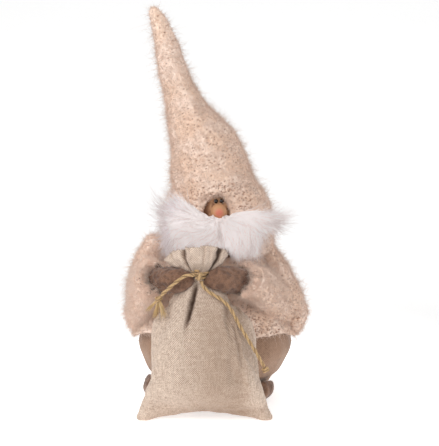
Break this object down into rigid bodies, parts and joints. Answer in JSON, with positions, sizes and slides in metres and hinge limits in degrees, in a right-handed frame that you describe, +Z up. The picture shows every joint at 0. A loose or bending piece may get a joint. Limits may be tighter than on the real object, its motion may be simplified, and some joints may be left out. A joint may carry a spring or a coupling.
{
  "type": "tomte figure",
  "caption": "Standing gnome ornament: round linen body, fluffy knitted coat and tall bendable hat, long white beard, and felt mittens that hold a tied linen sack.",
  "frame": {"origin": "centre of the flat bottom panel, on the surface that the figure stands on", "axes": "+Z up, -Y towards the front of the figure, +X to the right of a person who faces the figure"},
  "size_m": [0.1968, 0.2295, 0.419],
  "materials": {
    "linen": "plain woven linen in a warm beige, matt",
    "board": "grey-brown fibreboard, matt",
    "filling": "white polyester fibre",
    "felt": "brown brushed felt with a short mottled nap",
    "knit": "pinkish beige boucle knit with a long brushed pile",
    "face_felt": "tan felt, matt",
    "nose_ball": "painted wooden ball, tan with a soft pink spot, satin",
    "eye_bead": "black gloss bead",
    "fur": "long white imitation fur",
    "sack_linen": "coarse grey-beige linen with a visible weave, matt",
    "jute": "golden two-strand jute twine, hairy",
    "wire": "bare soft steel wire"
  },
  "bodies": {
    "figure": {"base_panel": "linen", "base_board": "board", "weight_bag": "linen", "body_filling": "filling", "body_cover": "linen", "foot_left": "felt", "foot_right": "felt", "coat_body": "knit", "head_skin": "face_felt", "head_filling": "filling", "nose": "nose_ball", "eye_left": "eye_bead", "eye_right": "eye_bead", "moustache_left": "fur", "moustache_right": "fur", "beard": "fur", "arm_left": "filling", "arm_right": "filling", "sleeve_left": "knit", "sleeve_right": "knit", "cuff_left": "knit", "cuff_right": "knit", "mitten_left": "felt", "mitten_right": "felt", "sack_cloth": "sack_linen", "sack_filling": "filling", "cord_winding": "jute", "cord_knot": "jute", "cord_left": "jute", "cord_left_knot": "jute", "cord_right": "jute", "cord_right_knot": "jute", "hat_lower": "knit", "hat_filling_lower": "filling", "hat_wire_lower": "wire", "hat_fold_lower": "knit"},
    "hat_middle": {"hat_middle": "knit", "hat_filling_middle": "filling", "hat_wire_middle": "wire", "hat_fold_upper": "knit"},
    "hat_tip": {"hat_tip": "knit", "hat_wire_tip": "wire"}
  },
  "joints": [
    {"name": "hat_bend", "type": "hinge", "parent": "figure", "child": "hat_middle", "pos_m": [-0.0255, 0, 0.306], "axis": [0, 1, 0], "range_deg": [-30, 35], "deforming": ["hat_fold_lower"]},
    {"name": "hat_tip_bend", "type": "hinge", "parent": "hat_middle", "child": "hat_tip", "pos_m": [-0.0455, 0, 0.359], "axis": [1, 0, 0], "range_deg": [-35, 35], "deforming": ["hat_fold_upper"]}
  ]
}
